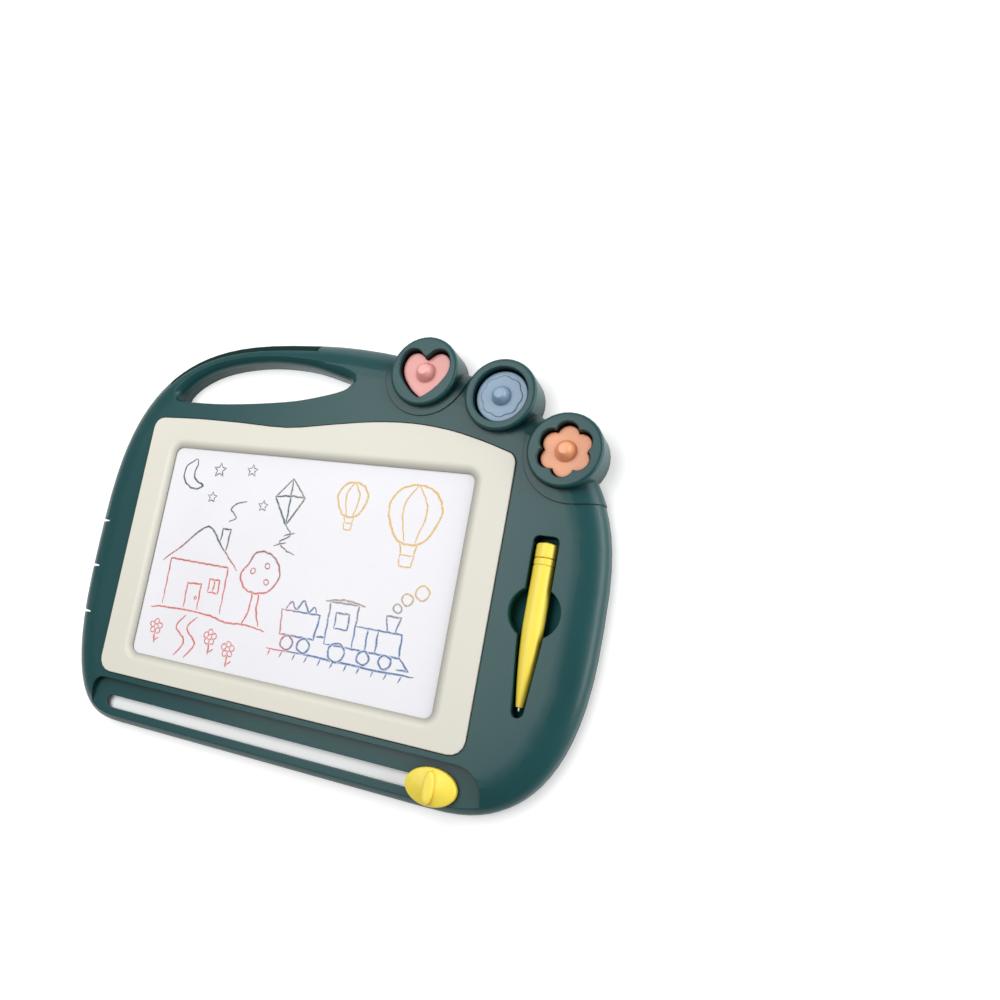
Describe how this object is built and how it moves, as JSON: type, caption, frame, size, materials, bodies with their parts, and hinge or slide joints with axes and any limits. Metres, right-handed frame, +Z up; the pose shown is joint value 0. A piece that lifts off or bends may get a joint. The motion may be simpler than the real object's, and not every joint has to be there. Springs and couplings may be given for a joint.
{
  "type": "magnetic drawing board",
  "caption": "Children's magnetic drawing board with a carrying handle, a loose pen in a tray, lift-out shape stamps in rings and a slide eraser below the screen.",
  "frame": {"origin": "middle of the board's box, on the flat back face that it lies on", "axes": "+X to the pen side, +Y to the carrying handle, +Z up out of the screen"},
  "size_m": [0.418, 0.3168, 0.0288],
  "materials": {
    "shell_green": "satin moulded ABS, dark sea green",
    "cover_grey": "fine matte moulded plastic, mid grey",
    "track_white": "smooth moulded plastic, white",
    "bezel_cream": "satin moulded ABS, cream",
    "film_white": "satin plastic film, cool white",
    "core_white": "honeycomb cells with milky fluid",
    "plastic_yellow": "satin moulded plastic, yellow",
    "magnet_black": "matte flexible magnet sheet",
    "steel": "plain zinc-plated steel",
    "stamp_pink": "satin moulded plastic, pink",
    "stamp_blue": "satin moulded plastic, grey blue",
    "stamp_peach": "satin moulded plastic, peach orange"
  },
  "bodies": {
    "board": {"front_shell": "shell_green", "back_cover": "cover_grey", "slot_track": "track_white", "bezel": "bezel_cream", "front_film": "film_white", "panel_core": "core_white", "back_film": "film_white", "case_screw_1": "steel", "case_screw_2": "steel", "case_screw_3": "steel", "case_screw_4": "steel", "case_screw_5": "steel", "case_screw_6": "steel", "case_screw_7": "steel", "case_screw_8": "steel"},
    "eraser": {"eraser_knob": "plastic_yellow", "eraser_carriage": "track_white", "eraser_magnet": "magnet_black", "knob_screw": "steel"},
    "pen": {"pen_barrel": "plastic_yellow", "pen_end_cap": "plastic_yellow", "pen_magnet": "steel", "pen_tip": "steel"},
    "stamp_heart": {"heart_stamp": "stamp_pink", "heart_magnet": "magnet_black"},
    "stamp_round": {"round_stamp": "stamp_blue", "round_magnet": "magnet_black"},
    "stamp_flower": {"flower_stamp": "stamp_peach", "flower_magnet": "magnet_black"}
  },
  "joints": [
    {"name": "eraser_slide", "type": "slide", "parent": "board", "child": "eraser", "axis": [-1, 0, 0], "range_m": [0, 0.2712]},
    {"name": "pen_lift", "type": "slide", "parent": "board", "child": "pen", "axis": [0, 0, 1], "range_m": [0, 0.04]},
    {"name": "heart_stamp_lift", "type": "slide", "parent": "board", "child": "stamp_heart", "axis": [0, 0, 1], "range_m": [0, 0.04]},
    {"name": "round_stamp_lift", "type": "slide", "parent": "board", "child": "stamp_round", "axis": [0, 0, 1], "range_m": [0, 0.04]},
    {"name": "flower_stamp_lift", "type": "slide", "parent": "board", "child": "stamp_flower", "axis": [0, 0, 1], "range_m": [0, 0.04]}
  ]
}
